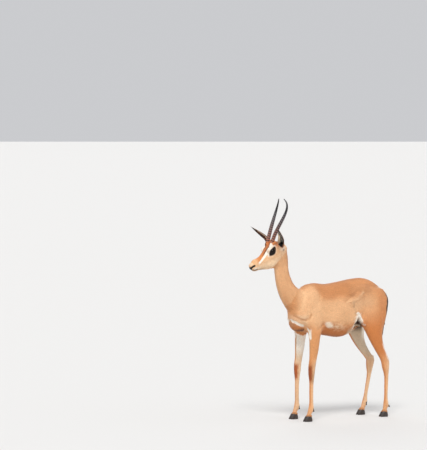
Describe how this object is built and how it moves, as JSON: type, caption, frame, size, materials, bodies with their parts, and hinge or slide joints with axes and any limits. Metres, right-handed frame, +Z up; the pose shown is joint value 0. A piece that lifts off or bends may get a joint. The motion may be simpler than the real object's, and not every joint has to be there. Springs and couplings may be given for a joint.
{
  "type": "gazelle",
  "caption": "Life-size still model of a standing gazelle doe with ringed horns, for display on a floor.",
  "frame": {"origin": "on the floor, under the middle of the animal's box", "axes": "+Z up, the animal faces -X, its left side is towards -Y"},
  "size_m": [0.9778, 0.2898, 1.3227],
  "materials": {
    "coat": "short, flat, tan hair with white, chestnut and black markings",
    "tuft": "black hair",
    "horn": "ringed horn sheath, smooth at the tip",
    "hoof": "dark horn",
    "eye": "wet and glossy"
  },
  "bodies": {
    "root": {"torso": "coat", "neck": "coat", "head": "coat", "ear_left": "coat", "ear_right": "coat", "foreleg_upper_left": "coat", "foreleg_upper_right": "coat", "foreleg_lower_left": "coat", "foreleg_lower_right": "coat", "hind_leg_upper_left": "coat", "hind_leg_upper_right": "coat", "hind_leg_lower_left": "coat", "hind_leg_lower_right": "coat", "tail": "coat", "tail_tuft": "tuft", "horn_left": "horn", "horn_right": "horn", "eye_left": "eye", "eye_right": "eye", "hoof_front_left": "hoof", "hoof_front_right": "hoof", "hoof_hind_left": "hoof", "hoof_hind_right": "hoof"}
  },
  "joints": []
}
